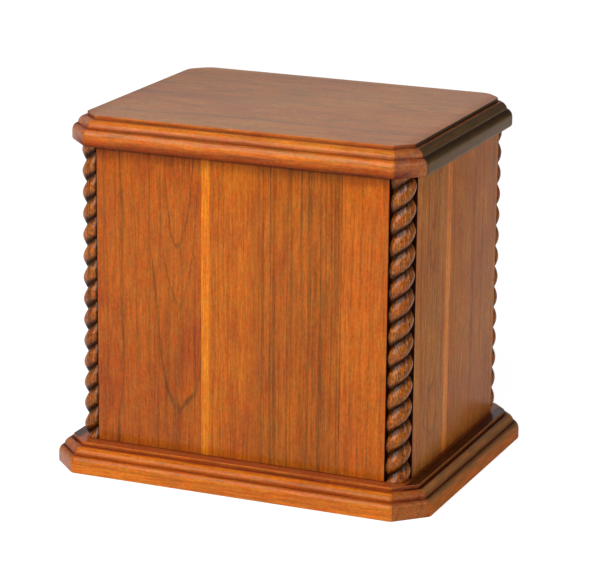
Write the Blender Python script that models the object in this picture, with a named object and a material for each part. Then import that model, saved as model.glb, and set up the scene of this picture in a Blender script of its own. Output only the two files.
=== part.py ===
"""Cremation urn box in solid cherry: a moulded lid and base board, four walls and four rope columns.

Metres, +Z up. The origin is at the middle of the underside, and the front faces -Y.
"""

import math

import bmesh
import bpy

# Body, between the base board and the lid
BODY_WIDTH = 0.2265          # over the outer faces of the two side panels
BODY_DEPTH = 0.1769          # over the outer faces of the front and back panels
BODY_HEIGHT = 0.1968         # from the top of the base board to the underside of the lid
WALL_THICKNESS = 0.01905     # a dressed three-quarter inch board

# Rope columns, let into square rebates down the four corners
ROPE_DIAMETER = 0.01885      # over the crests of the strands
ROPE_STRANDS = 2             # strands twisted together
STRAND_RADIUS = 0.00695      # round of one strand, across the rope
ROPE_LEAD = 0.02828          # height of one full turn
ROPE_PROUD = 0.0003          # how far the crests stand out past both outer faces of the walls
ROPE_BACK = 0.0039           # from the middle of the rope to the faces of its rebate
ROPE_RINGS_PER_TURN = 12     # rings of points in one turn
STRAND_SIDES = 7             # flats round one strand

# Degrees from +X to a crest at the foot of each column
ROPE_START_FRONT_LEFT = 106.8
ROPE_START_FRONT_RIGHT = 126.5
ROPE_START_BACK_LEFT = 106.8
ROPE_START_BACK_RIGHT = 101.0

# Lid, with a field below it that drops between the walls
LID_THICKNESS = 0.01905
LID_OVERHANG = 0.0083        # beyond the walls, on all four sides
LID_CORNER_CLIP = 0.0165     # cut off each corner, along each side
LID_UNDER_ROUND = 0.0021     # radius under the nose
FIELD_DEPTH = 0.006
FIELD_CLEARANCE = 0.0008     # from the field to the inner face of each wall
FIELD_CORNER_CLIP = 0.004

# Base board, which is the floor of the box and overhangs further than the lid
BASE_THICKNESS = 0.01905
BASE_OVERHANG = 0.0174
BASE_CORNER_CLIP = 0.0193
BASE_UNDER_ROUND = 0.0005

# Edge of the lid and of the base board, from the top face outwards
EDGE_STEP = 0.0024           # upright drop at the edge of the top face
EDGE_BEAD_WIDTH = 0.0058
EDGE_BEAD_HEIGHT = 0.0053
EDGE_NOSE = 0.0034           # how far the rounded nose stands out past the bead
EDGE_NOSE_RISE = 0.0053      # height of the round above the nose
ARC_STEPS = 4                # straight lengths in each quarter round

# Left between pieces that touch
JOINT_GAP = 0.0003

# Lacquered cherry, by piece: red, green, blue and roughness
LID_FINISH = (0.33, 0.13, 0.06, 0.22)
BASE_FINISH = (0.36, 0.12, 0.04, 0.22)
FRONT_BACK_FINISH = (0.46, 0.15, 0.04, 0.25)
SIDE_FINISH = (0.38, 0.14, 0.05, 0.25)
ROPE_FINISH = (0.34, 0.11, 0.03, 0.22)

# Worked out from the sizes above
COLUMN_INSET = ROPE_DIAMETER / 2 - ROPE_PROUD
REBATE = COLUMN_INSET + ROPE_BACK
BODY_FOOT = BASE_THICKNESS
LID_UNDERSIDE = BASE_THICKNESS + BODY_HEIGHT
PIECE_HEIGHT = BODY_HEIGHT - 2 * JOINT_GAP


def lacquered_cherry(name, finish):
    red, green, blue, roughness = finish
    material = bpy.data.materials.new(name)
    material.use_nodes = True
    shader = material.node_tree.nodes["Principled BSDF"]
    shader.inputs["Base Color"].default_value = (red, green, blue, 1.0)
    shader.inputs["Roughness"].default_value = roughness
    shader.inputs["Metallic"].default_value = 0.0
    return material


def add_piece(name, mesh, finish, location, parent, turn=0.0):
    piece = bpy.data.objects.new(name, mesh)
    bpy.context.scene.collection.objects.link(piece)
    piece.parent = parent
    piece.location = location
    piece.rotation_euler = (0.0, 0.0, math.radians(turn))
    mesh.materials.append(lacquered_cherry(name + "_finish", finish))
    return piece


def loft(name, rings):
    """Closed mesh through rings of points, each anticlockwise from above, from the lowest ring up."""
    work = bmesh.new()
    loops = [[work.verts.new(point) for point in ring] for ring in rings]
    for lower, upper in zip(loops, loops[1:]):
        count = len(lower)
        for i in range(count):
            j = (i + 1) % count
            work.faces.new((lower[i], lower[j], upper[j], upper[i]))
    work.faces.new(list(reversed(loops[0])))
    work.faces.new(loops[-1])
    mesh = bpy.data.meshes.new(name)
    work.to_mesh(mesh)
    work.free()
    return mesh


def smooth_rounds(mesh, sharpest):
    """Smooth shading, with the edges that turn by more than the given angle left sharp."""
    mesh.shade_smooth()
    mesh.set_sharp_from_angle(angle=math.radians(sharpest))


def clipped_rectangle(half_x, half_y, clip, z):
    """Eight points of a rectangle with its corners cut off at 45 degrees."""
    near_x = half_x - clip
    near_y = half_y - clip
    outline = [
        (half_x, -near_y), (half_x, near_y), (near_x, half_y), (-near_x, half_y),
        (-half_x, near_y), (-half_x, -near_y), (-near_x, -half_y), (near_x, -half_y),
    ]
    return [(x, y, z) for x, y in outline]


def quarter_round(middle, radii, first, last):
    """Points of a quarter ellipse in the plane of inset and height, with its angles in degrees."""
    points = []
    for step in range(ARC_STEPS + 1):
        angle = math.radians(first + (last - first) * step / ARC_STEPS)
        inset = middle[0] + radii[0] * math.cos(angle)
        height = middle[1] + radii[1] * math.sin(angle)
        points.append((inset, height))
    return points


def moulded_edge(thickness, under_round):
    """Edge of a board as points of inset and height, from its underside to its top face."""
    bead_foot = thickness - EDGE_STEP - EDGE_BEAD_HEIGHT
    rise = min(EDGE_NOSE_RISE, bead_foot - under_round)
    face = EDGE_NOSE + EDGE_BEAD_WIDTH
    under = quarter_round((under_round, under_round), (under_round, under_round), 270, 180)
    over = quarter_round((EDGE_NOSE, bead_foot - rise), (EDGE_NOSE, rise), 180, 90)
    bead = quarter_round((face, bead_foot), (EDGE_BEAD_WIDTH, EDGE_BEAD_HEIGHT), 180, 90)
    return under + over + bead[1:] + [(face, thickness)]


def board_rings(half_x, half_y, corner_clip, edge):
    """Rings of a board that has the moulded edge on every side, the clipped corners too."""
    slant = 2 - math.sqrt(2)
    return [
        clipped_rectangle(half_x - inset, half_y - inset, corner_clip - slant * inset, height)
        for inset, height in edge
    ]


def add_base(parent):
    edge = moulded_edge(BASE_THICKNESS, BASE_UNDER_ROUND)
    half_x = BODY_WIDTH / 2 + BASE_OVERHANG
    half_y = BODY_DEPTH / 2 + BASE_OVERHANG
    mesh = loft("base_board", board_rings(half_x, half_y, BASE_CORNER_CLIP, edge))
    smooth_rounds(mesh, 35)
    add_piece("base_board", mesh, BASE_FINISH, (0, 0, 0), parent)


def add_lid(parent):
    edge = moulded_edge(LID_THICKNESS, LID_UNDER_ROUND)
    half_x = BODY_WIDTH / 2 + LID_OVERHANG
    half_y = BODY_DEPTH / 2 + LID_OVERHANG
    field_x = BODY_WIDTH / 2 - WALL_THICKNESS - FIELD_CLEARANCE
    field_y = BODY_DEPTH / 2 - WALL_THICKNESS - FIELD_CLEARANCE
    field = [
        clipped_rectangle(field_x, field_y, FIELD_CORNER_CLIP, -FIELD_DEPTH),
        clipped_rectangle(field_x, field_y, FIELD_CORNER_CLIP, 0),
    ]
    mesh = loft("lid", field + board_rings(half_x, half_y, LID_CORNER_CLIP, edge))
    smooth_rounds(mesh, 35)
    add_piece("lid", mesh, LID_FINISH, (0, 0, LID_UNDERSIDE), parent)


def wall_plan(length):
    """Plan of a wall that faces -Y: square ends in the rebates, and a mitre behind them."""
    half = length / 2
    mitre_back = JOINT_GAP / math.sqrt(2)
    end = half - REBATE
    lap = WALL_THICKNESS + mitre_back - REBATE
    if lap > 0:
        inner = half - WALL_THICKNESS - mitre_back
        return [(-end, 0), (end, 0), (end, REBATE - mitre_back), (inner, WALL_THICKNESS),
                (-inner, WALL_THICKNESS), (-end, REBATE - mitre_back)]
    return [(-end, 0), (end, 0), (end, WALL_THICKNESS), (-end, WALL_THICKNESS)]


def add_walls(parent):
    front = BODY_DEPTH / 2
    side = BODY_WIDTH / 2
    walls = [
        ("front_panel", BODY_WIDTH, (0, -front), 0, FRONT_BACK_FINISH),
        ("right_panel", BODY_DEPTH, (side, 0), 90, SIDE_FINISH),
        ("back_panel", BODY_WIDTH, (0, front), 180, FRONT_BACK_FINISH),
        ("left_panel", BODY_DEPTH, (-side, 0), 270, SIDE_FINISH),
    ]
    for name, length, (x, y), turn, finish in walls:
        plan = wall_plan(length)
        rings = [[(px, py, z) for px, py in plan] for z in (0, PIECE_HEIGHT)]
        add_piece(name, loft(name, rings), finish, (x, y, BODY_FOOT + JOINT_GAP), parent, turn)


def rope_section():
    """Outline across the rope, as points of radius and angle: round strands that meet in sharp grooves."""
    middle = ROPE_DIAMETER / 2 - STRAND_RADIUS
    share = math.pi / ROPE_STRANDS
    groove = middle * math.cos(share) + math.sqrt(STRAND_RADIUS**2 - (middle * math.sin(share))**2)
    reach = math.atan2(groove * math.sin(share), groove * math.cos(share) - middle)
    section = []
    for strand in range(ROPE_STRANDS):
        for side in range(STRAND_SIDES):
            turn = reach * (2 * side / STRAND_SIDES - 1)
            x = middle + STRAND_RADIUS * math.cos(turn)
            y = STRAND_RADIUS * math.sin(turn)
            section.append((math.hypot(x, y), math.atan2(y, x) + 2 * share * strand))
    return section


def rope_mesh(name, start):
    section = rope_section()
    count = math.ceil(ROPE_RINGS_PER_TURN * PIECE_HEIGHT / ROPE_LEAD)
    rings = []
    for i in range(count + 1):
        z = PIECE_HEIGHT * i / count
        turn = math.radians(start) + math.tau * z / ROPE_LEAD
        rings.append([
            (radius * math.cos(angle + turn), radius * math.sin(angle + turn), z)
            for radius, angle in section
        ])
    return loft(name, rings)


def add_rebate_cutter(parent):
    """Cross-shaped block that reaches to the back of the four rebates."""
    back = REBATE - JOINT_GAP
    half_x = BODY_WIDTH / 2 - back
    half_y = BODY_DEPTH / 2 - back
    reach_x = BODY_WIDTH / 2 + BASE_OVERHANG
    reach_y = BODY_DEPTH / 2 + BASE_OVERHANG
    plan = [
        (half_x, -reach_y), (half_x, -half_y), (reach_x, -half_y), (reach_x, half_y),
        (half_x, half_y), (half_x, reach_y), (-half_x, reach_y), (-half_x, half_y),
        (-reach_x, half_y), (-reach_x, -half_y), (-half_x, -half_y), (-half_x, -reach_y),
    ]
    rings = [[(x, y, z) for x, y in plan] for z in (-BASE_THICKNESS, BODY_HEIGHT + LID_THICKNESS)]
    cutter = bpy.data.objects.new("rebate_cutter", loft("rebate_cutter", rings))
    bpy.context.scene.collection.objects.link(cutter)
    cutter.parent = parent
    cutter.location = (0, 0, BODY_FOOT)
    cutter.hide_render = True
    cutter.display_type = "WIRE"
    return cutter


def add_rope_columns(parent):
    cutter = add_rebate_cutter(parent)
    x = BODY_WIDTH / 2 - COLUMN_INSET
    y = BODY_DEPTH / 2 - COLUMN_INSET
    columns = [
        ("rope_column_front_left", (-x, -y), ROPE_START_FRONT_LEFT),
        ("rope_column_front_right", (x, -y), ROPE_START_FRONT_RIGHT),
        ("rope_column_back_left", (-x, y), ROPE_START_BACK_LEFT),
        ("rope_column_back_right", (x, y), ROPE_START_BACK_RIGHT),
    ]
    for name, (column_x, column_y), start in columns:
        mesh = rope_mesh(name, start)
        smooth_rounds(mesh, 50)
        column = add_piece(name, mesh, ROPE_FINISH, (column_x, column_y, BODY_FOOT + JOINT_GAP), parent)
        cut = column.modifiers.new("seat in the rebate", "BOOLEAN")
        cut.operation = "DIFFERENCE"
        cut.solver = "EXACT"
        cut.object = cutter


def main():
    for item in list(bpy.data.objects):
        bpy.data.objects.remove(item)
    urn = bpy.data.objects.new("urn_box", None)
    bpy.context.scene.collection.objects.link(urn)
    add_base(urn)
    add_walls(urn)
    add_rope_columns(urn)
    add_lid(urn)


main()
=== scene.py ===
"""Cremation urn box in lacquered cherry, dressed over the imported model. Metres, +Z up, front at -Y."""
import math
from collections import namedtuple

import bmesh
import bpy
from mathutils import Matrix, Vector


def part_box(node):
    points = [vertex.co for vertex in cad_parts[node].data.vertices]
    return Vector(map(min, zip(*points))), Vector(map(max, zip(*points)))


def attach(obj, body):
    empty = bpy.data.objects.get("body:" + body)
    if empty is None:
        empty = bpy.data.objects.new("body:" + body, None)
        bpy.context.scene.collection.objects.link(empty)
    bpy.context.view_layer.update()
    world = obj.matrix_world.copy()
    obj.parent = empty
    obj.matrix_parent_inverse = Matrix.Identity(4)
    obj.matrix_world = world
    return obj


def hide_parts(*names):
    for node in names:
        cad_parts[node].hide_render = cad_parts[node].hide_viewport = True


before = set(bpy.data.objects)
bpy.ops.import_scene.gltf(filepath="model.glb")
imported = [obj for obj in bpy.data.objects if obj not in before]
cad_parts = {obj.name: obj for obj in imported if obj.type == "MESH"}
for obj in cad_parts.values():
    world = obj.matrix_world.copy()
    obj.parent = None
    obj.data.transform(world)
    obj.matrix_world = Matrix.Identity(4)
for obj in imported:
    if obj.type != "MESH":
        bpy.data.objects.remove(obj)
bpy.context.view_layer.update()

# Edge of the lid and of the base board, from the top face outwards
EDGE_STEP = 0.0024
EDGE_BEAD_WIDTH = 0.0058
EDGE_BEAD_HEIGHT = 0.0053
EDGE_NOSE = 0.0034
EDGE_NOSE_RISE = 0.0053
LID_CORNER_CLIP = 0.0165
LID_UNDER_ROUND = 0.0021
BASE_CORNER_CLIP = 0.0193
BASE_UNDER_ROUND = 0.0006
ARRIS_ROUND = 0.0004         # softened edge of the top faces
FRONT_CORNER_ROUND = 0.0040  # softened arrises of the clipped corners
BACK_CORNER_ROUND = 0.0115
ARC_STEPS = 12
UNDER_STEPS = 6
ARRIS_STEPS = 4
FLAT_STEPS = 4
CORNER_STEPS = 6

# Field below the lid
FIELD_DEPTH = 0.006
FIELD_CLEARANCE = 0.0008
FIELD_CORNER_CLIP = 0.004
FIELD_CORNER_ROUND = 0.001

# Rope columns
ROPE_DIAMETER = 0.01885
ROPE_STRANDS = 2
STRAND_RADIUS = 0.00695
ROPE_LEAD = 0.02828          # height of one full turn
ROPE_BACK = 0.0039           # from the axis to the flat backs that lie in the rebate
ROPE_STARTS = {"front_left": 106.8, "front_right": 126.5, "back_left": 106.8, "back_right": 101.0}
RINGS_PER_TURN = 72
STRAND_SIDES = 26

# Walls
WALL_EASE = 0.0004           # rounded edges
WALL_EASE_STEPS = 3

# Limits for cleaning and shading the meshes
SHORTEST_EDGE = 1e-7
SAME_PLACE = 1e-6
SAME_PLANE = math.radians(1)
SHARP_ANGLE = math.radians(40)

# Amount of darkening on a point of a mesh, partly dark stain and partly painted shade: 0 is none, 1 is full,
# and more is darker still
EDGE_STAIN_AND_SHADE_REACH = 0.0019    # how far the dark stain and painted shade spread from the inner corners of the moulding
EVEN_SPREADS = ((1.0, 1.0), (1.0, 1.0))  # share of that reach above and below each inner corner, at the ends
LID_SPREADS = ((0.35, 1.5), (1.5, 1.4))
# painted shade on the lid's edge, darkest at its foot and gone by this height
LID_FOOT_SHADE = 1.4
FOOT_SHADE_RISE = 0.0085
SHADED_FLANK = (0.36, 0.92)  # where the painted shade, with some dark stain, starts and is full, from the crest of a strand to the groove
LIT_FLANK = (0.52, 0.98)
LIT_FLANK_STAIN_AND_SHADE = 0.70
REBATE_STAIN_AND_SHADE = (0.0002, 0.0016)  # distances from the rebate between which the painted shade and dark stain fade

# Camera, with its turn in degrees from the front towards the right side
CAMERA_TURN = 22.938
CAMERA_RISE = 15.485
CAMERA_ROLL = 0.583
CAMERA_DISTANCE = 1.88266
CAMERA_TARGET = Vector((0.00054, 0.0, 0.11540))
CAMERA_SIGHT = 50            # distance beyond which it sees nothing
LENS_MM = 174.588
SENSOR_MM = 36.0

# Studio. Each softbox has a place, a width and height, and a power in watts.
SOFTBOXES = {
    "key": ((-0.66, -1.56, 1.25), (1.7, 1.6), 48),
    "glint": ((0.55, -1.15, 1.40), (0.45, 0.28), 9.0),
    "fill": ((1.50, -0.42, 0.90), (0.6, 0.6), 3.5),
}
SOFTBOX_AIM = Vector((0.0, 0.0, 0.12))
FLOOR_REACH = 12.0
FLOOR_DROP = 0.0002          # keeps the floor clear of the underside
FLOOR_TONE = (0.28, 0.28, 0.28)
FLOOR_GLOW = 0.86
FLOOR_ROUGHNESS = 0.9
SKY_TONE = (1.0, 0.99, 0.98)
SKY_GLOW_WAY = (-0.60, 0.77, 0.20)       # the side on which the sky is brighter
SKY_GLOW = (0.50, 0.98, 0.26, 0.85)

# Wood grain. The material works in millimetres. A pattern has its repeats in a millimetre across, through and
# along the grain, what it adds to the board's seed, and the detail and roughness of its noise.
MM = 1000
Pattern = namedtuple("Pattern", "sizes seed detail roughness")
SLOW_WANDER = Pattern((0.022, 0.022, 0.007), 0, 2.0, 0.5)
QUICK_WANDER = Pattern((0.09, 0.09, 0.022), 3, 2.0, 0.5)
PATCHES = Pattern((0.15, 0.15, 0.02), 5, 2.0, 0.5)
STRIPES = Pattern((0.42, 0.42, 0.006), 11, 3.0, 0.65)
BLOOMS = Pattern((0.040, 0.040, 0.022), 23, 3.0, 0.6)
MOTTLE = Pattern((0.32, 0.32, 0.16), 43, 3.0, 0.65)
FIBRES = Pattern((1.3, 1.3, 0.05), 17, 2.0, 0.6)
FLECKS = Pattern((0.8, 0.8, 0.45), 37, 2.0, 0.6)
PORES = Pattern((2.4, 2.4, 0.13), 29, 1.0, 0.5)
BANDS = Pattern((0.05, 0.45, 0.0), 41, 3.0, 0.65)
SPECKS = Pattern((0.75, 0.75, 0.40), 47, 2.0, 0.6)
WAVES = Pattern((0.25, 0.25, 0.06), 5, 2.0, 0.5)

# Growth lines
ARCH_REACH = 30.0            # how far either side of the pith they arch
QUICK_WANDER_SHARE = 0.35
SIDE_WANDER_SHARE = 0.5
RING_DRIFT_RATE = 0.7        # how often for each ring their spacing drifts
RING_DRIFT = 1.3             # by how many rings it drifts
FAINTEST_RING = 0.35

# Ranges: two ends of what goes in, and then of what comes out where that isn't 0 to 1
SHOULDER_RISE = (0.1, 0.5, 0.0, 0.30)
SHOULDER_FALL = (0.5, 0.56, 1.0, 0.0)
PATCH_TONES = (0.30, 0.62, 0.25, 1.0)
STRIPE_RANGE = (0.46, 0.66)
BLOOM_RANGE = (0.36, 0.66)
MOTTLE_RANGE = (0.38, 0.62)
FIBRE_TONES = (0.30, 0.70, 0.79, 1.19)
FLECK_TONES = (0.3, 0.7, 0.86, 1.13)
PORE_RANGE = (0.60, 0.74)
BAND_TONES = (0.38, 0.68, 0.72, 1.30)
SPECK_RANGE = (0.35, 0.65)
ROUGHNESS_RANGE = (0.3, 0.7, 0.38, 0.50)
PORE_DARKNESS = 0.5

# Relief of the grain below the lacquer, and of the lacquer's own waves
FIBRE_RELIEF = 0.4
GRAIN_BUMP = {"Strength": 0.25, "Distance": 0.00006}
WAVE_BUMP = {"Strength": 0.3, "Distance": 0.0002}

# Which way a face of the lid or the base looks, by the share of its level normal that is along the grain, the
# square of that level normal, or its upward part
END_FACING = (0.6, 0.9)
CLIP_FACING = (0.2, 0.4)
UPRIGHT_FACING = (0.03, 0.15)
TOP_FACING = (0.93, 0.99)
SLOPE_FACING = (0.05, 0.55)
LEAST_LEVEL = 0.001          # keeps the top faces from a division by nothing

# Tones that the wood's colour is multiplied by
PALE_BLOOM = (1.12, 1.22, 1.0)
RED_BLOOM = (0.86, 0.72, 0.95)
RED_MOTTLE = (1.03, 0.90, 0.70)
GREEN_MOTTLE = (0.96, 1.07, 1.20)
# mostly painted shade, with some dark stain, in the rope's grooves and under each strand
ROPE_STAIN_AND_SHADE = (0.10, 0.12, 0.35)
# dark stain and painted shade in the inner corners of the mouldings
EDGE_STAIN_AND_SHADE = (0.52, 0.38, 0.55)
# dark stain and painted shade in the inner corners at the ends of the lid and the base
END_STAIN_AND_SHADE = (0.27, 0.28, 0.35)
# painted shadow of the lid on the top of each wall
HEAD_SHADOW = (0.40, 0.42, 0.90)
# dark joint and painted shade in the rims of the walls beside the ropes
GAP_STAIN_AND_SHADE = (0.04, 0.04, 0.12)
# clipped corners: darker and greyer, partly the cross-cut grain and partly a painted grey sheen
CLIP_TONE = (0.62, 0.68, 1.9)
# painted shadow on the top beside the walls of the base and on the ledges at the lid's ends
FLANK_SHADOW = (0.11, 0.10, 0.40)
ROPE_GRIT = 0.32             # how far the specks on the ropes go either side of 1
STAIN_AND_SHADE_DULLING = 0.75         # share of the lacquer's gloss that full stain and painted shade take away
RIM_DULLING = 0.8

# Millimetres inwards from the edge of a wall between which its rim darkens with painted shade, and below its
# top likewise with the lid's painted shadow
RIM_BAND = (0.9, 0.2)
HEAD_BAND = (3.0, 1.0)
FLANK_INSET = 1.5            # the painted shadow on the base's top starts this far in under the wall
FLANK_BLUR = 4.0

# Ends of the lid and the base: colour where they face up (bead) and stand upright (nose), end grain with
# painted shade on the upward parts, how dull each is, and tone of the board's top, its own colour with
# painted shade and sheen
Ends = namedtuple("Ends", "bead bead_dull nose nose_dull top")
LID_ENDS = Ends((0.050, 0.034, 0.013), 0.80, (0.080, 0.045, 0.013), 0.45, (0.765, 0.985, 1.38))
BASE_ENDS = Ends((0.240, 0.098, 0.027), 0.60, (0.350, 0.088, 0.012), 0.88, (0.74, 0.66, 2.2))
END_GRAIN_SHARE = 0.12
BAND_GREEN_POWER = 0.4       # the bands change green less than red, and blue not at all

# Lacquer
Coat = namedtuple("Coat", "gloss ior roughness")
CLEAR_COAT = Coat(0.8, 1.25, 0.2)
LID_COAT = Coat(0.68, 1.3, 0.2)
SIDE_COAT = Coat(0.35, 1.25, 0.3)
ROPE_COAT = Coat(0.70, 1.35, 0.19)

# Boards. The pith is across and behind the face by so many millimetres, and arch is the slope of the lines
# near it. Ring and width are the spacing and width of the growth lines, and wander is how far they stray.
# Contrast, stripe and bloom are the strengths of the lines, the straight stripes and the clouds of colour.
Board = namedtuple("Board", "seed pith depth arch ring width wander pale dark contrast stripe bloom")
RED_BROWN_BOARD = Board(3.1, -43.0, 6.0, 0.18, 8.6, 0.90, 12.0,
                        (0.284, 0.061, 0.0056), (0.105, 0.033, 0.005), 0.75, 0.40, 0.9)
SAPWOOD_BOARD = Board(8.7, 200.0, 40.0, 0.0, 6.0, 0.8, 3.0,
                      (0.490, 0.138, 0.0060), (0.340, 0.075, 0.006), 0.6, 0.45, 0.5)
MIDDLE_BOARD = Board(5.2, 240.0, 20.0, 0.0, 4.2, 0.6, 5.0,
                     (0.335, 0.078, 0.0058), (0.185, 0.044, 0.005), 0.6, 0.50, 0.8)
FINE_BOARD = Board(6.6, 240.0, 20.0, 0.0, 3.6, 0.60, 6.0,
                   (0.290, 0.069, 0.0058), (0.108, 0.034, 0.005), 0.90, 0.60, 0.5)
PLAIN_BOARD = Board(9.4, 260.0, 20.0, 0.0, 6.4, 0.65, 6.0,
                    (0.355, 0.081, 0.0060), (0.170, 0.042, 0.005), 0.6, 0.25, 0.5)
NEAR_SIDE_BOARD = Board(12.3, -45.0, 12.0, 0.15, 7.0, 0.8, 8.0,
                        (0.348, 0.116, 0.024), (0.130, 0.048, 0.013), 0.9, 0.45, 0.6)
PALE_SIDE_BOARD = Board(15.8, 180.0, 40.0, 0.0, 5.0, 0.7, 3.0,
                        (0.560, 0.170, 0.026), (0.340, 0.106, 0.019), 0.5, 0.3, 0.4)
FAR_SIDE_BOARD = Board(18.1, 190.0, 30.0, 0.0, 4.2, 0.6, 6.0,
                       (0.350, 0.106, 0.015), (0.140, 0.046, 0.010), 0.7, 0.40, 0.5)
LID_BOARD = Board(21.4, 26.0, 5.0, 0.22, 7.5, 2.2, 16.0,
                  (0.440, 0.118, 0.012), (0.200, 0.080, 0.018), 0.50, 0.2, 0.5)
BASE_BOARD = Board(27.9, -30.0, 14.0, 0.05, 5.0, 0.7, 8.0,
                   (0.430, 0.105, 0.007), (0.180, 0.045, 0.005), 0.6, 0.35, 0.4)
ROPE_BOARD = Board(31.6, 160.0, 20.0, 0.0, 1.3, 0.45, 3.0,
                   (0.262, 0.067, 0.0065), (0.050, 0.018, 0.004), 0.9, 0.70, 0.4)
FRONT_BOARDS = (RED_BROWN_BOARD, SAPWOOD_BOARD, MIDDLE_BOARD, FINE_BOARD, PLAIN_BOARD)
SIDE_BOARDS = (NEAR_SIDE_BOARD, PALE_SIDE_BOARD, FAR_SIDE_BOARD)

# Joints between those boards: place across, and blur
FRONT_SEAMS = ((-26.4, 0.25), (-21.0, 0.9), (10.0, 9.0), (69.2, 0.4))
SIDE_SEAMS = ((-21.0, 0.5), (-13.0, 0.8))


def smoothstep(low, high, value):
    share = min(max((value - low) / (high - low), 0.0), 1.0)
    return share * share * (3 - 2 * share)


# Meshes

def loft(name, rings, stains_and_shades):
    """Closed mesh through rings of points, each anticlockwise from above, with a value of stain and painted
    shade on each point.
    """
    work = bmesh.new()
    held = work.verts.layers.float.new("stain_and_shade")
    loops = [[work.verts.new(point) for point in ring] for ring in rings]
    for loop, values in zip(loops, stains_and_shades):
        for vertex, value in zip(loop, values):
            vertex[held] = value
    for lower, upper in zip(loops, loops[1:]):
        count = len(lower)
        for i in range(count):
            j = (i + 1) % count
            work.faces.new((lower[i], lower[j], upper[j], upper[i]))
    work.faces.new(list(reversed(loops[0])))
    work.faces.new(loops[-1])
    bmesh.ops.dissolve_degenerate(work, dist=SHORTEST_EDGE, edges=work.edges)
    mesh = bpy.data.meshes.new(name)
    work.to_mesh(mesh)
    work.free()
    return mesh


def add_piece(name, mesh, material, node):
    """Piece that stands for one node, with its material, parented to the root, and the node's own part
    hidden.
    """
    mesh.shade_smooth()
    mesh.set_sharp_from_angle(angle=SHARP_ANGLE)
    piece = bpy.data.objects.new(name, mesh)
    bpy.context.scene.collection.objects.link(piece)
    mesh.materials.append(material)
    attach(piece, "root")
    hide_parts(node)


def clipped_outline(half_x, half_y, clip, front_radius, back_radius):
    """Rectangle with its corners cut at 45 degrees, and the eight arrises rounded."""
    near_x = half_x - clip
    near_y = half_y - clip
    corners = [
        Vector(place) for place in (
            (half_x, -near_y), (half_x, near_y), (near_x, half_y), (-near_x, half_y),
            (-half_x, near_y), (-half_x, -near_y), (-near_x, -half_y), (near_x, -half_y),
        )
    ]
    outline = []
    turn = math.radians(45)
    for before, corner in zip([corners[-1]] + corners, corners):
        radius = front_radius if corner.y < 0 else back_radius
        into = (corner - before).normalized()
        start = corner - into * radius * math.tan(turn / 2)
        middle = start + Vector((-into.y, into.x)) * radius
        first = math.atan2(start.y - middle.y, start.x - middle.x)
        for step in range(CORNER_STEPS + 1):
            angle = first + turn * step / CORNER_STEPS
            outline.append((middle.x + radius * math.cos(angle), middle.y + radius * math.sin(angle)))
    return outline


def arc(middle, radii, first, last, steps):
    points = []
    for step in range(steps + 1):
        angle = math.radians(first + (last - first) * step / steps)
        points.append((middle[0] + radii[0] * math.cos(angle), middle[1] + radii[1] * math.sin(angle)))
    return points


def straight(start, end):
    """Points between two others, without them."""
    shares = [step / FLAT_STEPS for step in range(1, FLAT_STEPS)]
    return [tuple(a + (b - a) * share for a, b in zip(start, end)) for share in shares]


def moulded_edge(thickness, under_round):
    """Edge of a board as points of inset and height, with the places of its two inner corners."""
    bead_foot = thickness - EDGE_STEP - EDGE_BEAD_HEIGHT
    face = EDGE_NOSE + EDGE_BEAD_WIDTH
    nose_foot = bead_foot - EDGE_NOSE_RISE
    arris_middle = (face + ARRIS_ROUND, thickness - ARRIS_ROUND)
    under = arc((under_round, under_round), (under_round, under_round), 270, 180, UNDER_STEPS)
    nose = arc((EDGE_NOSE, nose_foot), (EDGE_NOSE, EDGE_NOSE_RISE), 180, 90, ARC_STEPS)
    bead = arc((face, bead_foot), (EDGE_BEAD_WIDTH, EDGE_BEAD_HEIGHT), 180, 90, ARC_STEPS)
    arris = arc(arris_middle, (ARRIS_ROUND, ARRIS_ROUND), 180, 90, ARRIS_STEPS)
    side = straight(under[-1], nose[0])
    step = straight(bead[-1], arris[0])
    edge = under + side + nose + bead[1:] + step + arris + [(face + 2 * ARRIS_ROUND, thickness)]
    return edge, (nose[-1], bead[-1])


def edge_stain_and_shade(point, corners, foot_shade, spreads, at_end):
    """Dark stain and painted shade held in the inner corners of the moulding, and painted shade at the foot
    of the board away from its ends.
    """
    held = foot_shade * (1 - at_end) * (1 - smoothstep(0.0, FOOT_SHADE_RISE, point[1]))
    for corner, (above, below) in zip(corners, spreads):
        spread = above if point[1] > corner[1] + SAME_PLACE else below
        reach = EDGE_STAIN_AND_SHADE_REACH * (1 + at_end * (spread - 1))
        held = max(held, math.exp(-(math.dist(point, corner) / reach) ** 2))
    return held


def moulded_board(name, low, high, corner_clip, under_round, foot_shade=0.0, spreads=EVEN_SPREADS,
                  field=None):
    """Board between two corners of its box with the moulded edge all round, and the field below if given."""
    middle = (low + high) / 2
    half = (high - low) / 2
    edge, corners = moulded_edge(high.z - low.z, under_round)
    shrink = 2 - math.sqrt(2)    # how much shorter the clip gets for each unit of inset
    rings = []
    stains_and_shades = []
    if field:
        outline = clipped_outline(*field, FIELD_CORNER_CLIP, FIELD_CORNER_ROUND, FIELD_CORNER_ROUND)
        for z in (low.z - FIELD_DEPTH, low.z):
            rings.append([(middle.x + x, middle.y + y, z) for x, y in outline])
            stains_and_shades.append([0.0] * len(outline))
    for inset, height in edge:
        end = half.x - inset
        clip = corner_clip - shrink * inset
        outline = clipped_outline(end, half.y - inset, clip, FRONT_CORNER_ROUND, BACK_CORNER_ROUND)
        rings.append([(middle.x + x, middle.y + y, low.z + height) for x, y in outline])
        at_end = [smoothstep(end - clip, end, abs(x)) for x, y in outline]
        stains_and_shades.append([edge_stain_and_shade((inset, height), corners, foot_shade, spreads, share) for share in at_end])
    return loft(name, rings, stains_and_shades)


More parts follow.
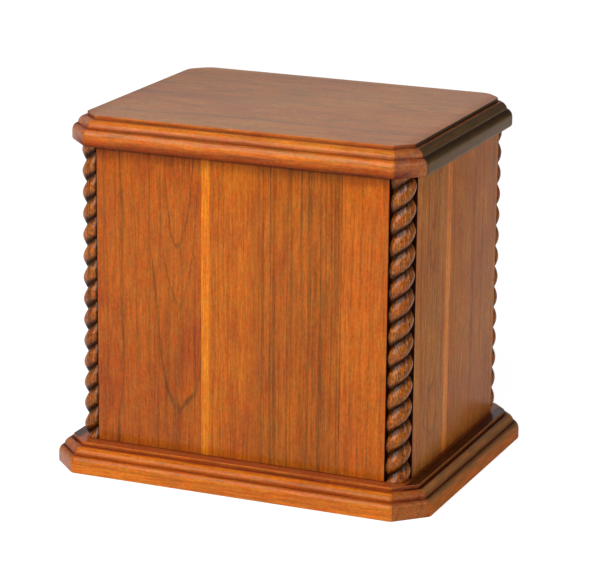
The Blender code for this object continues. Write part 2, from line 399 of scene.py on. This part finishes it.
def rope_section():
    """Outline across the rope as radius, angle and darkening, which sits in the groove and under the strand:
    some dark stain, mostly painted shade.
    """
    offset = ROPE_DIAMETER / 2 - STRAND_RADIUS
    section = []
    for strand in range(ROPE_STRANDS):
        for side in range(STRAND_SIDES):
            share = 2 * side / STRAND_SIDES - 1
            turn = math.pi * share / ROPE_STRANDS
            radius = offset * math.cos(turn) + math.sqrt(STRAND_RADIUS**2 - (offset * math.sin(turn))**2)
            if share > 0:
                stain_and_shade = smoothstep(*SHADED_FLANK, share)
            else:
                stain_and_shade = LIT_FLANK_STAIN_AND_SHADE * smoothstep(*LIT_FLANK, -share)
            section.append((radius, turn + math.tau * strand / ROPE_STRANDS, stain_and_shade))
    return section


def rope_mesh(name, low, high, corner, start):
    """Twisted column with its back cut square to sit in the rebate. Corner is which way is out in X and Y."""
    out_x, out_y = corner
    axis_x = (high.x if out_x > 0 else low.x) - out_x * ROPE_DIAMETER / 2
    axis_y = (high.y if out_y > 0 else low.y) - out_y * ROPE_DIAMETER / 2
    section = rope_section()
    height = high.z - low.z
    count = math.ceil(RINGS_PER_TURN * height / ROPE_LEAD)
    rings = []
    stains_and_shades = []
    for i in range(count + 1):
        z = height * i / count
        turn = math.radians(start) + math.tau * z / ROPE_LEAD
        ring = []
        stain_and_shade = []
        for radius, angle, shade in section:
            x = out_x * radius * math.cos(angle + turn)
            y = out_y * radius * math.sin(angle + turn)
            clear = min(x + ROPE_BACK, y + ROPE_BACK)
            x = max(x, -ROPE_BACK)
            y = max(y, -ROPE_BACK)
            ring.append((axis_x + out_x * x, axis_y + out_y * y, low.z + z))
            # painted shade, with some dark stain, where the rope meets the rebate
            stain_and_shade.append(max(shade, 1 - smoothstep(*REBATE_STAIN_AND_SHADE, clear)))
        rings.append(ring)
        stains_and_shades.append(stain_and_shade)
    return loft(name, rings, stains_and_shades)


def eased_wall(name, node):
    """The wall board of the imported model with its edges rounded."""
    work = bmesh.new()
    work.from_mesh(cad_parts[node].data)
    bmesh.ops.remove_doubles(work, verts=work.verts, dist=SAME_PLACE)
    bmesh.ops.dissolve_limit(work, angle_limit=SAME_PLANE, verts=work.verts, edges=work.edges)
    bmesh.ops.bevel(work, geom=work.edges, offset=WALL_EASE, segments=WALL_EASE_STEPS, profile=0.5,
                    affect="EDGES")
    mesh = bpy.data.meshes.new(name)
    work.to_mesh(mesh)
    work.free()
    return mesh


# Materials

class Nodes:
    """Short calls that add nodes to one tree. A value is a number, a colour or another socket."""

    def __init__(self, tree):
        self.tree = tree

    def put(self, socket, value):
        if isinstance(value, bpy.types.NodeSocket):
            self.tree.links.new(value, socket)
        elif socket.type == "RGBA":
            socket.default_value = (*value, 1.0)
        else:
            socket.default_value = value

    def add(self, kind, inputs=(), **settings):
        node = self.tree.nodes.new(kind)
        for name, value in settings.items():
            setattr(node, name, value)
        for key, value in dict(inputs).items():
            self.put(node.inputs[key], value)
        return node

    def math(self, operation, first, second=0.0, third=0.0):
        return self.add("ShaderNodeMath", {0: first, 1: second, 2: third}, operation=operation).outputs[0]

    def plus(self, first, second):
        return self.math("ADD", first, second)

    def times(self, first, second):
        return self.math("MULTIPLY", first, second)

    def combine(self, x, y, z):
        return self.add("ShaderNodeCombineXYZ", {0: x, 1: y, 2: z}).outputs[0]

    def separate(self, vector):
        return self.add("ShaderNodeSeparateXYZ", {0: vector}).outputs

    def scaled(self, vector, sizes):
        return self.add("ShaderNodeVectorMath", {0: vector, 1: sizes}, operation="MULTIPLY").outputs[0]

    def noise(self, place, pattern, seed=0.0):
        values = {
            "Vector": self.scaled(place, pattern.sizes), "W": seed + pattern.seed, "Scale": 1.0,
            "Detail": pattern.detail, "Roughness": pattern.roughness,
        }
        return self.add("ShaderNodeTexNoise", values, noise_dimensions="4D").outputs["Fac"]

    def between(self, value, low, high, start=0.0, end=1.0):
        values = {0: value, 1: low, 2: high, 3: start, 4: end}
        return self.add("ShaderNodeMapRange", values, interpolation_type="SMOOTHSTEP").outputs[0]

    def mix(self, share, first, second, blend="MIX"):
        inputs = {0: share, 6: first, 7: second}
        return self.add("ShaderNodeMix", inputs, data_type="RGBA", blend_type=blend).outputs[2]

    def tinted(self, share, colour, tone):
        return self.mix(share, colour, tone, "MULTIPLY")


def growth_lines(nodes, place, board):
    """Thin dark lines that run along the grain and arch near the pith, from 0 to 1."""
    across, through, along = nodes.separate(place)
    slow = nodes.noise(place, SLOW_WANDER, board.seed)
    quick = nodes.noise(place, QUICK_WANDER, board.seed)
    wander = nodes.math("MULTIPLY_ADD", quick, QUICK_WANDER_SHARE, slow)
    wander = nodes.times(nodes.math("SUBTRACT", wander, 0.5 * (1 + QUICK_WANDER_SHARE)), board.wander)
    side = nodes.plus(nodes.math("SUBTRACT", across, board.pith), nodes.times(wander, SIDE_WANDER_SHARE))
    deep = nodes.plus(through, board.depth)
    radius = nodes.math("SQRT", nodes.plus(nodes.math("POWER", side, 2.0), nodes.math("POWER", deep, 2.0)))
    slope = nodes.between(nodes.math("ABSOLUTE", side), 0.0, ARCH_REACH, board.arch, 0.0)
    reach = nodes.plus(nodes.math("MULTIPLY_ADD", along, slope, radius), wander)
    drift_place = nodes.times(reach, RING_DRIFT_RATE / board.ring)
    drift = nodes.add("ShaderNodeTexNoise", {"W": drift_place, "Scale": 1.0}, noise_dimensions="1D")
    count = nodes.math("DIVIDE", reach, board.ring)
    count = nodes.math("MULTIPLY_ADD", drift.outputs["Fac"], RING_DRIFT, count)
    part = nodes.math("FRACT", count)
    year = nodes.plus(nodes.math("FLOOR", count), board.seed)
    strength = nodes.add("ShaderNodeTexWhiteNoise", {"W": year}, noise_dimensions="1D").outputs["Value"]
    apart = nodes.times(nodes.math("ABSOLUTE", nodes.math("SUBTRACT", part, 0.5)), board.ring)
    line = nodes.between(apart, 0.0, board.width, 1.0, 0.0)
    shoulder = nodes.times(nodes.between(part, *SHOULDER_RISE), nodes.between(part, *SHOULDER_FALL))
    patches = nodes.between(nodes.noise(place, PATCHES, board.seed), *PATCH_TONES)
    line = nodes.times(nodes.plus(line, shoulder), patches)
    return nodes.times(line, nodes.math("MULTIPLY_ADD", strength, 1 - FAINTEST_RING, FAINTEST_RING))


def figure(nodes, place, board):
    """Colour of one board with all its figure, and then its pores and its fibres alone."""
    lines = nodes.times(growth_lines(nodes, place, board), board.contrast)
    colour = nodes.mix(lines, board.pale, board.dark)
    stripes = nodes.noise(place, STRIPES, board.seed)
    colour = nodes.mix(nodes.between(stripes, *STRIPE_RANGE, 0.0, board.stripe), colour, board.dark)
    blooms = nodes.between(nodes.noise(place, BLOOMS, board.seed), *BLOOM_RANGE)
    colour = nodes.tinted(board.bloom, colour, nodes.mix(blooms, PALE_BLOOM, RED_BLOOM))
    mottle = nodes.between(nodes.noise(place, MOTTLE, board.seed), *MOTTLE_RANGE)
    colour = nodes.tinted(1.0, colour, nodes.mix(mottle, RED_MOTTLE, GREEN_MOTTLE))
    fibres = nodes.noise(place, FIBRES, board.seed)
    flecks = nodes.noise(place, FLECKS, board.seed)
    tone = nodes.times(nodes.between(fibres, *FIBRE_TONES), nodes.between(flecks, *FLECK_TONES))
    colour = nodes.tinted(1.0, colour, nodes.combine(tone, tone, tone))
    pores = nodes.between(nodes.noise(place, PORES, board.seed), *PORE_RANGE)
    colour = nodes.mix(nodes.times(pores, PORE_DARKNESS), colour, board.dark)
    return colour, pores, fibres


def joined_boards(nodes, place, boards, seams):
    """Figure of boards side by side. The pores and fibres are those of the first."""
    colour, pores, fibres = figure(nodes, place, boards[0])
    across = nodes.separate(place)[0]
    for (seam, blur), board in zip(seams, boards[1:]):
        beyond = nodes.between(across, seam - blur, seam + blur)
        colour = nodes.mix(beyond, colour, figure(nodes, place, board)[0])
    return colour, pores, fibres


def moulding_tones(nodes, place, facing, colour, gloss, ends, flank):
    """Colour and gloss with the clipped corners, ends and top toned apart, partly by their grain and partly
    with painted shade and sheen, and how far a face is an end.

    Facing is the normal's parts across, through and along the grain. Flank is where along the grain the
    painted shadow on the flanks of the top starts, in millimetres.
    """
    end_part = nodes.math("POWER", facing[2], 2.0)
    side_part = nodes.math("POWER", facing[0], 2.0)
    level = nodes.plus(end_part, side_part)
    end_share = nodes.math("DIVIDE", end_part, nodes.plus(level, LEAST_LEVEL))
    upright = nodes.between(level, *UPRIGHT_FACING)
    on_end = nodes.times(nodes.between(end_share, *END_FACING), upright)
    on_clip = nodes.times(nodes.between(end_share, *CLIP_FACING), upright)
    on_top = nodes.between(facing[1], *TOP_FACING)
    sloping = nodes.between(facing[1], *SLOPE_FACING)
    # clipped corners toned for cross-cut grain with a painted grey sheen
    colour = nodes.tinted(on_clip, colour, CLIP_TONE)
    band = nodes.between(nodes.noise(place, BANDS), *BAND_TONES)
    band_tone = nodes.combine(band, nodes.math("POWER", band, BAND_GREEN_POWER), 1.0)
    # darker end grain, with painted shade on the parts that face up
    end_colour = nodes.tinted(1.0, nodes.mix(sloping, ends.nose, ends.bead), band_tone)
    colour = nodes.mix(on_end, colour, nodes.mix(END_GRAIN_SHARE, end_colour, colour))
    dull = nodes.math("MULTIPLY_ADD", sloping, ends.bead_dull - ends.nose_dull, ends.nose_dull)
    gloss = nodes.math("MULTIPLY_ADD", nodes.times(on_end, dull), -gloss, gloss)
    along = nodes.math("ABSOLUTE", nodes.separate(place)[2])
    # tone of the top faces, partly the board's own colour and partly painted shade and sheen, with a painted
    # shadow at the flanks
    top_shade_and_tone = nodes.mix(nodes.between(along, flank, flank + FLANK_BLUR), ends.top, FLANK_SHADOW)
    return nodes.tinted(on_top, colour, top_shade_and_tone), gloss, on_end


def stained_and_shaded(nodes, colour, gloss, stain_and_shade):
    """Colour and gloss darkened by the mesh's value of stain and painted shade."""
    held = nodes.add("ShaderNodeAttribute", attribute_name="stain_and_shade").outputs["Fac"]
    passed = nodes.combine(*[nodes.math("POWER", part, held) for part in nodes.separate(stain_and_shade)])
    kept = nodes.math("MULTIPLY_ADD", nodes.math("MINIMUM", held, 1.0), -STAIN_AND_SHADE_DULLING, 1.0)
    return nodes.tinted(1.0, colour, passed), nodes.times(gloss, kept)


def wall_edges(nodes, place, colour, gloss, half_width, top):
    """Colour and gloss with a dark joint and painted shade in the rim at both sides of the wall, and the
    lid's painted shadow below its top.
    """
    across, through, along = nodes.separate(place)
    # painted shade, with a dark joint, in the rims beside the ropes
    rim = nodes.between(nodes.math("ABSOLUTE", across), half_width - RIM_BAND[0], half_width - RIM_BAND[1])
    # painted shadow of the lid below the wall's top
    head = nodes.between(along, top - HEAD_BAND[0], top - HEAD_BAND[1])
    colour = nodes.tinted(head, nodes.tinted(rim, colour, GAP_STAIN_AND_SHADE), HEAD_SHADOW)
    return colour, nodes.math("MULTIPLY_ADD", rim, -RIM_DULLING * gloss, gloss)


def lacquered(name, order, boards, seams=(), coat=CLEAR_COAT, stain_and_shade=None, ends=None, flank=0.0, grit=0.0,
              wall=None):
    """Cherry boards under clear lacquer. Order names the axes across, through and along the grain.

    Flank, where the painted shadow on the top's flanks starts, is for ends alone. Wall is half the width of a
    wall and the height of its top, in millimetres.
    """
    material = bpy.data.materials.new(name)
    material.use_nodes = True
    nodes = Nodes(material.node_tree)
    coordinates = nodes.add("ShaderNodeTexCoord").outputs
    axes = ["XYZ".index(axis) for axis in order]
    parts = nodes.separate(coordinates["Object"])
    place = nodes.scaled(nodes.combine(*[parts[axis] for axis in axes]), (MM, MM, MM))
    colour, pores, fibres = joined_boards(nodes, place, boards, seams)
    gloss = coat.gloss
    if ends:
        sides = nodes.separate(coordinates["Normal"])
        facing = [sides[axis] for axis in axes]
        colour, gloss, on_end = moulding_tones(nodes, place, facing, colour, gloss, ends, flank)
        stain_and_shade = nodes.mix(on_end, stain_and_shade, END_STAIN_AND_SHADE)
    if stain_and_shade:
        colour, gloss = stained_and_shaded(nodes, colour, gloss, stain_and_shade)
    if grit:
        tone = nodes.between(nodes.noise(place, SPECKS), *SPECK_RANGE, 1 - grit, 1 + grit)
        colour = nodes.tinted(1.0, colour, nodes.combine(tone, tone, tone))
    if wall:
        colour, gloss = wall_edges(nodes, place, colour, gloss, *wall)
    relief = nodes.math("SUBTRACT", nodes.times(fibres, FIBRE_RELIEF), pores)
    bump = nodes.add("ShaderNodeBump", {"Height": relief, **GRAIN_BUMP})
    coat_bump = nodes.add("ShaderNodeBump", {"Height": nodes.noise(place, WAVES), **WAVE_BUMP})
    settings = {
        "Base Color": colour, "Roughness": nodes.between(fibres, *ROUGHNESS_RANGE), "Normal": bump.outputs[0],
        "Specular IOR Level": 0.0, "Coat Weight": gloss, "Coat Roughness": coat.roughness,
        "Coat IOR": coat.ior, "Coat Normal": coat_bump.outputs[0],
    }
    shader = material.node_tree.nodes["Principled BSDF"]
    for key, value in settings.items():
        nodes.put(shader.inputs[key], value)
    return material


# The urn

def add_boards():
    base_low, base_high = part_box("base_board")
    lid_low, lid_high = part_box("lid")
    right_low, right_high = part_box("right_panel")
    front_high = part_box("front_panel")[1]
    field = (right_low.x - FIELD_CLEARANCE, -front_high.y - FIELD_CLEARANCE)
    lid_low = Vector((lid_low.x, lid_low.y, lid_low.z + FIELD_DEPTH))    # the underside, above the field
    lid_face = lid_high.x - EDGE_NOSE - EDGE_BEAD_WIDTH

    wood = lacquered("base_cherry", "YZX", [BASE_BOARD], stain_and_shade=EDGE_STAIN_AND_SHADE, ends=BASE_ENDS,
                     flank=right_high.x * MM - FLANK_INSET)
    mesh = moulded_board("base", base_low, base_high, BASE_CORNER_CLIP, BASE_UNDER_ROUND)
    add_piece("base", mesh, wood, "base_board")

    wood = lacquered("lid_cherry", "YZX", [LID_BOARD], coat=LID_COAT, stain_and_shade=EDGE_STAIN_AND_SHADE, ends=LID_ENDS,
                     flank=lid_face * MM)
    mesh = moulded_board("lid_board", lid_low, lid_high, LID_CORNER_CLIP, LID_UNDER_ROUND, LID_FOOT_SHADE,
                         LID_SPREADS, field)
    add_piece("lid_board", mesh, wood, "lid")


def add_walls():
    front_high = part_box("front_panel")[1]
    right_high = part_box("right_panel")[1]
    front_wood = lacquered("front_cherry", "XYZ", FRONT_BOARDS, FRONT_SEAMS,
                           wall=(front_high.x * MM, front_high.z * MM))
    side_wood = lacquered("side_cherry", "YXZ", SIDE_BOARDS, SIDE_SEAMS, coat=SIDE_COAT,
                          wall=(right_high.y * MM, right_high.z * MM))
    woods = {"front": front_wood, "back": front_wood, "left": side_wood, "right": side_wood}
    for side, wood in woods.items():
        name = side + "_wall"
        node = side + "_panel"
        add_piece(name, eased_wall(name, node), wood, node)


def add_ropes():
    wood = lacquered("rope_cherry", "XYZ", [ROPE_BOARD], coat=ROPE_COAT, stain_and_shade=ROPE_STAIN_AND_SHADE, grit=ROPE_GRIT)
    for corner, start in ROPE_STARTS.items():
        name = "rope_" + corner
        node = "rope_column_" + corner
        out_x = -1 if "left" in corner else 1
        out_y = -1 if "front" in corner else 1
        low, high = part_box(node)
        add_piece(name, rope_mesh(name, low, high, (out_x, out_y), start), wood, node)


# The studio

def add_camera():
    turn = math.radians(CAMERA_TURN)
    rise = math.radians(CAMERA_RISE)
    roll = math.radians(CAMERA_ROLL)
    ahead = Vector((-math.sin(turn) * math.cos(rise), math.cos(turn) * math.cos(rise), -math.sin(rise)))
    level = Vector((math.cos(turn), math.sin(turn), 0.0))
    upright = level.cross(ahead)
    right = math.cos(roll) * level + math.sin(roll) * upright
    up = math.cos(roll) * upright - math.sin(roll) * level
    data = bpy.data.cameras.new("camera")
    data.sensor_fit = "HORIZONTAL"
    data.sensor_width = SENSOR_MM
    data.lens = LENS_MM
    data.clip_end = CAMERA_SIGHT
    camera = bpy.data.objects.new("camera", data)
    bpy.context.scene.collection.objects.link(camera)
    matrix = Matrix((right, up, -ahead)).transposed().to_4x4()
    matrix.translation = CAMERA_TARGET - ahead * CAMERA_DISTANCE
    camera.matrix_world = matrix
    bpy.context.scene.camera = camera


def add_softboxes():
    for name, (place, size, power) in SOFTBOXES.items():
        data = bpy.data.lights.new(name, "AREA")
        data.shape = "RECTANGLE"
        data.size, data.size_y = size
        data.energy = power
        light = bpy.data.objects.new(name, data)
        light.visible_camera = False
        bpy.context.scene.collection.objects.link(light)
        light.location = place
        light.rotation_euler = (SOFTBOX_AIM - Vector(place)).to_track_quat("-Z", "Y").to_euler()


def add_floor():
    mesh = bpy.data.meshes.new("floor")
    corners = [(x * FLOOR_REACH, y * FLOOR_REACH, 0) for x, y in ((-1, -1), (1, -1), (1, 1), (-1, 1))]
    mesh.from_pydata(corners, [], [(0, 1, 2, 3)])
    floor = bpy.data.objects.new("floor", mesh)
    floor.location.z = -FLOOR_DROP
    bpy.context.scene.collection.objects.link(floor)
    paint = bpy.data.materials.new("pale_floor")
    paint.use_nodes = True
    nodes = Nodes(paint.node_tree)
    settings = {
        "Base Color": FLOOR_TONE, "Roughness": FLOOR_ROUGHNESS, "Specular IOR Level": 0.0,
        "Emission Color": (1.0, 1.0, 1.0), "Emission Strength": FLOOR_GLOW,
    }
    for key, value in settings.items():
        nodes.put(paint.node_tree.nodes["Principled BSDF"].inputs[key], value)
    mesh.materials.append(paint)


def add_sky():
    world = bpy.data.worlds.new("studio")
    bpy.context.scene.world = world
    world.use_nodes = True
    nodes = Nodes(world.node_tree)
    background = world.node_tree.nodes["Background"]
    way = nodes.add("ShaderNodeTexCoord").outputs["Generated"]
    towards = nodes.add("ShaderNodeVectorMath", {0: way, 1: SKY_GLOW_WAY}, operation="DOT_PRODUCT")
    nodes.put(background.inputs["Color"], SKY_TONE)
    nodes.put(background.inputs["Strength"], nodes.between(towards.outputs["Value"], *SKY_GLOW))
    bpy.context.scene.view_settings.view_transform = "Standard"


add_boards()
add_walls()
add_ropes()
add_camera()
add_floor()
add_sky()
add_softboxes()
